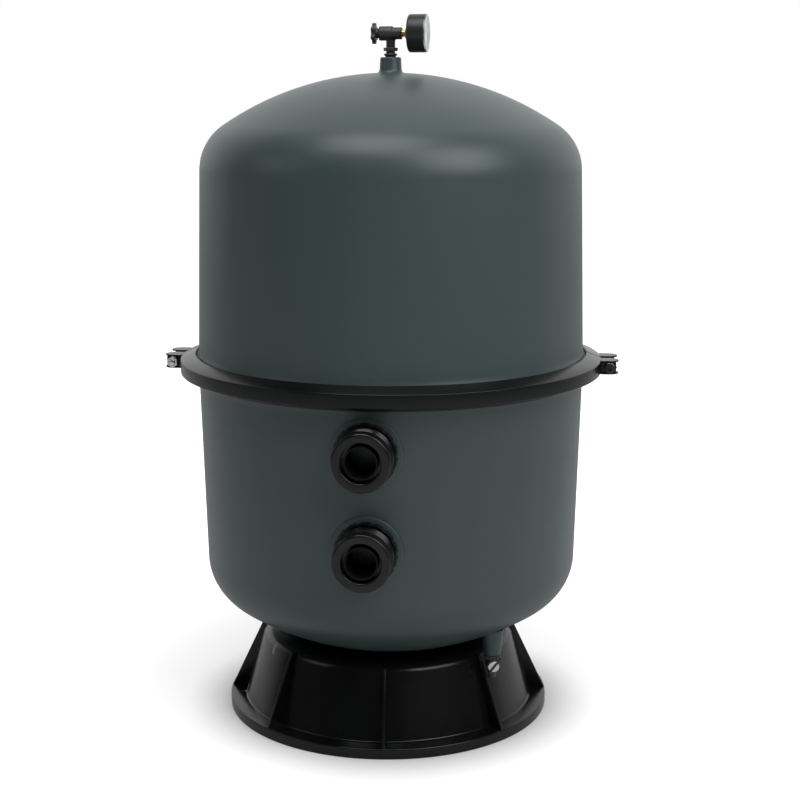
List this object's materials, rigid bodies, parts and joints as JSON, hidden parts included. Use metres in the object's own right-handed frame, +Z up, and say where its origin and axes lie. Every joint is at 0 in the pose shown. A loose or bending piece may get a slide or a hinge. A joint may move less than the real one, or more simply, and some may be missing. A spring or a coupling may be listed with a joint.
{
  "type": "sand filter tank",
  "caption": "Free-standing sand filter tank with a domed bolted-clamp top, two side ports, a ribbed base skirt, a drain cock and a pressure gauge.",
  "frame": {"origin": "the tank's upright axis on the floor", "axes": "+Z up, the two ports face -Y, the pressure gauge faces about +X"},
  "size_m": [0.5912, 0.5694, 0.9056],
  "materials": {
    "black_gloss": "glossy black moulding with faint scuffs",
    "tank_grey": "satin dark grey-green moulded shell",
    "seal_rubber": "soft black seal",
    "bright_steel": "bright stainless steel",
    "black_steel": "blackened bolt",
    "black_satin": "satin black plastic",
    "pipe_grey": "grey pipe plastic",
    "filter_white": "off-white filter plastic",
    "brass": "plain brass",
    "dial_white": "white dial with plain numbers",
    "clear_lens": "clear lens"
  },
  "bodies": {
    "tank": {"base_skirt": "black_gloss", "inlet_port_body": "black_gloss", "outlet_port_body": "black_gloss", "inlet_lock_ring": "black_gloss", "outlet_lock_ring": "black_gloss", "gauge_case": "black_gloss", "tank_lower": "tank_grey", "tank_upper": "tank_grey", "tank_seal": "seal_rubber", "inlet_gasket": "seal_rubber", "outlet_gasket": "seal_rubber", "tee_seal": "seal_rubber", "drain_washer": "seal_rubber", "gauge_tee": "black_satin", "tee_washer": "black_satin", "tee_lock_nut": "black_satin", "drain_cock_body": "black_satin", "inlet_stub_pipe": "pipe_grey", "outlet_stub_pipe": "pipe_grey", "inlet_elbow": "pipe_grey", "outlet_elbow": "pipe_grey", "riser_pipe": "pipe_grey", "down_pipe": "pipe_grey", "inlet_back_nut": "pipe_grey", "outlet_back_nut": "pipe_grey", "diffuser_body": "filter_white", "diffuser_cap": "filter_white", "lateral_hub": "filter_white", "drain_strainer": "filter_white", "lateral_1": "filter_white", "lateral_2": "filter_white", "lateral_3": "filter_white", "lateral_4": "filter_white", "lateral_5": "filter_white", "lateral_6": "filter_white", "lateral_7": "filter_white", "lateral_8": "filter_white", "gauge_stem": "brass", "gauge_movement": "brass", "gauge_bourdon_tube": "brass", "gauge_dial": "dial_white", "gauge_lens": "clear_lens"},
    "clamp_front": {"clamp_half_front": "black_gloss", "clamp_washers_front": "bright_steel", "clamp_bolt_right": "black_steel"},
    "clamp_rear": {"clamp_half_rear": "black_gloss", "clamp_washers_rear": "bright_steel", "clamp_bolt_left": "black_steel"},
    "nut_left": {"clamp_nut_left": "bright_steel"},
    "nut_right": {"clamp_nut_right": "bright_steel"},
    "bleed_ring": {"bleed_seal": "seal_rubber"},
    "bleed": {"bleed_screw": "black_satin"},
    "needle": {"gauge_needle": "black_satin", "gauge_spindle": "brass"},
    "drain_plug": {"drain_cock_plug": "bright_steel"}
  },
  "joints": [
    {"name": "clamp_front_slide", "type": "slide", "parent": "tank", "child": "clamp_front", "axis": [0.0297, -0.9996, 0], "range_m": [0, 0.08]},
    {"name": "clamp_rear_slide", "type": "slide", "parent": "tank", "child": "clamp_rear", "axis": [-0.0297, 0.9996, 0], "range_m": [0, 0.08]},
    {"name": "nut_left_spin", "type": "hinge", "parent": "clamp_front", "child": "nut_left", "pos_m": [-0.28207, -0.04239, 0.4641], "axis": [0.0297, -0.9996, 0], "continuous": true},
    {"name": "nut_right_spin", "type": "hinge", "parent": "clamp_rear", "child": "nut_right", "pos_m": [0.28207, 0.04239, 0.4641], "axis": [-0.0297, 0.9996, 0], "continuous": true},
    {"name": "bleed_travel", "type": "slide", "parent": "tank", "child": "bleed_ring", "axis": [-0.9974, 0.0724, 0], "range_m": [0, 0.003]},
    {"name": "bleed_turn", "type": "hinge", "parent": "bleed_ring", "child": "bleed", "pos_m": [-0.01446, 0.00105, 0.88207], "axis": [-0.9974, 0.0724, 0], "range_deg": [0, 721]},
    {"name": "needle_turn", "type": "hinge", "parent": "tank", "child": "needle", "pos_m": [0.03391, -0.00246, 0.88207], "axis": [-0.9974, 0.0724, 0], "range_deg": [0, 270], "stiffness_Nm_per_rad": 0.001},
    {"name": "drain_cock_turn", "type": "hinge", "parent": "tank", "child": "drain_plug", "pos_m": [0.14331, -0.11056, 0.09293], "axis": [0.2079, -0.9781, 0], "range_deg": [0, 90]}
  ],
  "couplings": [
    {"joint": "bleed_turn", "follows": "bleed_travel", "rad_per_m": 4188.8}
  ]
}
